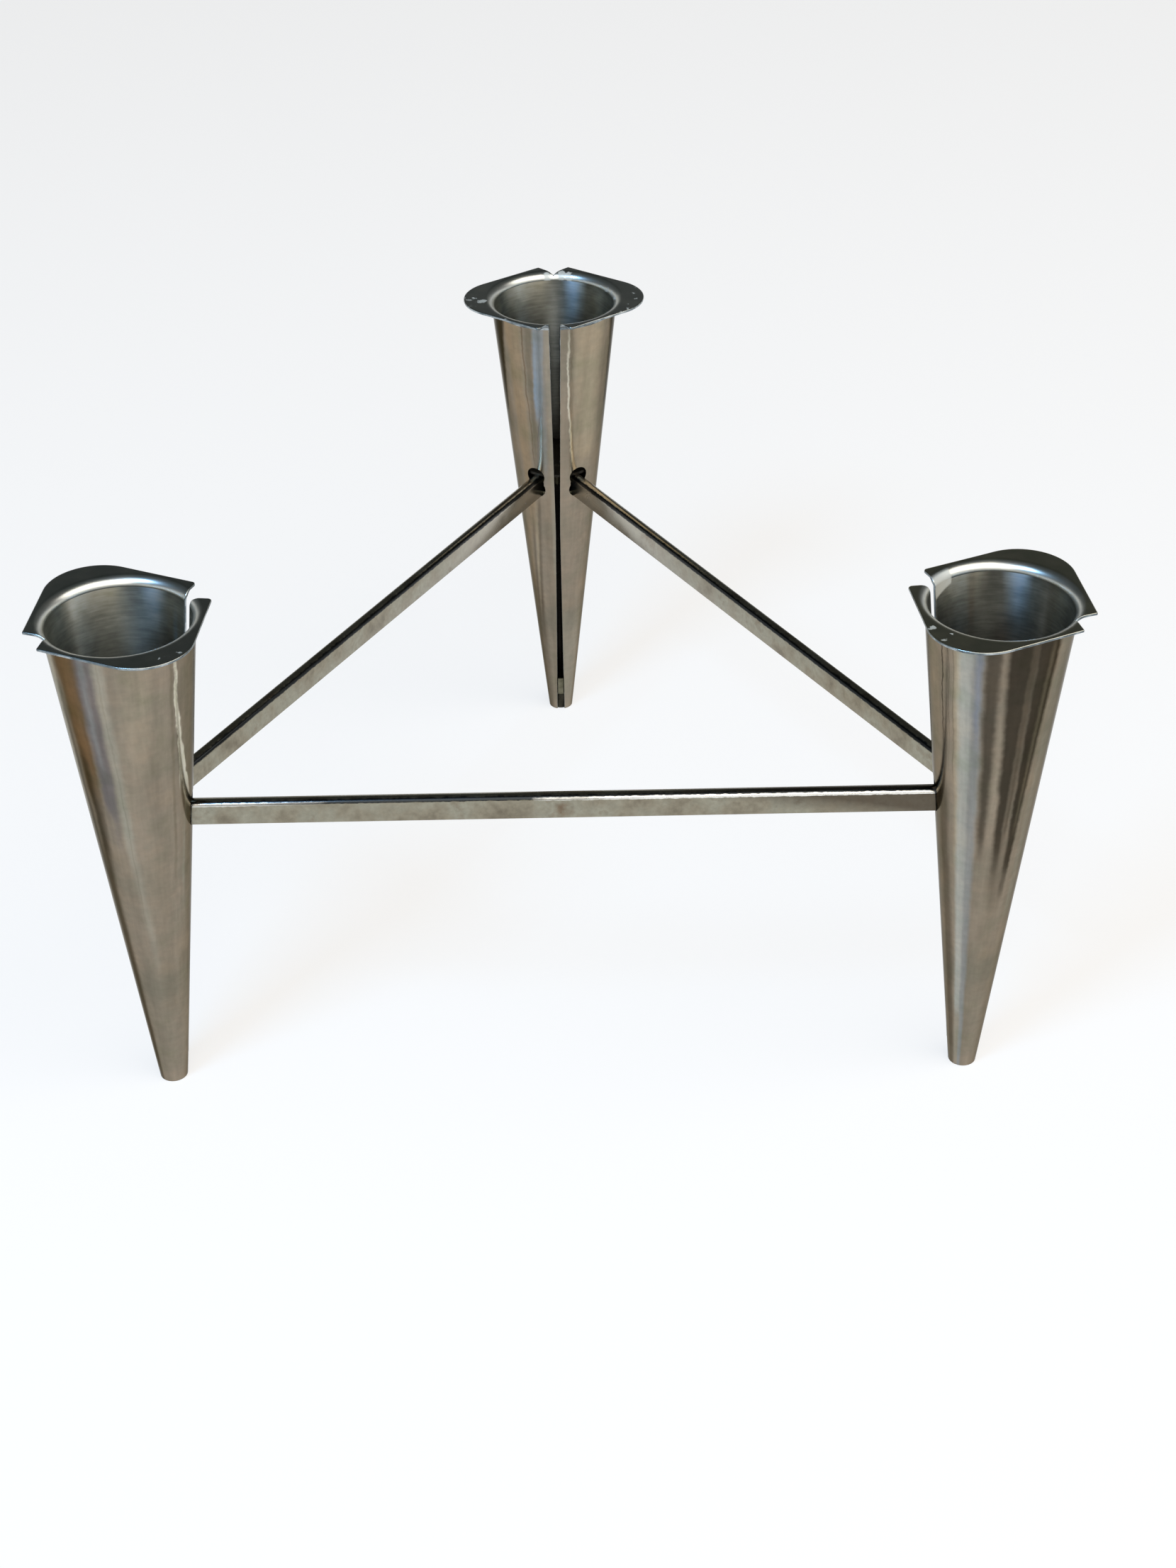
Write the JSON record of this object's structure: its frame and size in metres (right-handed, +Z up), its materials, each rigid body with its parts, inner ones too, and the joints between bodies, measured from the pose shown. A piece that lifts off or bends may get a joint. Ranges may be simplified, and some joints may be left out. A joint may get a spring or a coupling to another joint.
{
  "type": "candelabra",
  "caption": "Metal candelabra: pointed cone legs flare into notched candle cups and stand at the corners of a triangle of flat bars.",
  "frame": {"origin": "on the table under the middle of the bounding box, between the three tips", "axes": "+Z up; +X along the front bar towards the right leg; +Y away from the front bar towards the back leg"},
  "size_m": [0.3074, 0.2779, 0.171],
  "materials": {
    "leg_steel": "satin stainless sheet, brushed along the cone outside and around it inside",
    "bar_steel": "drawn flat bar with light scratches and stains",
    "rest_steel": "dull and sooty",
    "plug_steel": "turned, darkened",
    "weld_metal": "dressed weld"
  },
  "bodies": {
    "root": {"back_leg_shell": "leg_steel", "left_leg_shell": "leg_steel", "right_leg_shell": "leg_steel", "rear_left_bar": "bar_steel", "rear_right_bar": "bar_steel", "front_bar": "bar_steel", "back_candle_rest": "rest_steel", "left_candle_rest": "rest_steel", "right_candle_rest": "rest_steel", "back_mitre_weld": "weld_metal", "left_mitre_weld": "weld_metal", "right_mitre_weld": "weld_metal", "back_bar_seat_welds": "weld_metal", "left_bar_seat_welds": "weld_metal", "right_bar_seat_welds": "weld_metal", "back_tip_plug": "plug_steel", "left_tip_plug": "plug_steel", "right_tip_plug": "plug_steel", "back_tip_weld": "weld_metal", "left_tip_weld": "weld_metal", "right_tip_weld": "weld_metal"}
  },
  "joints": []
}
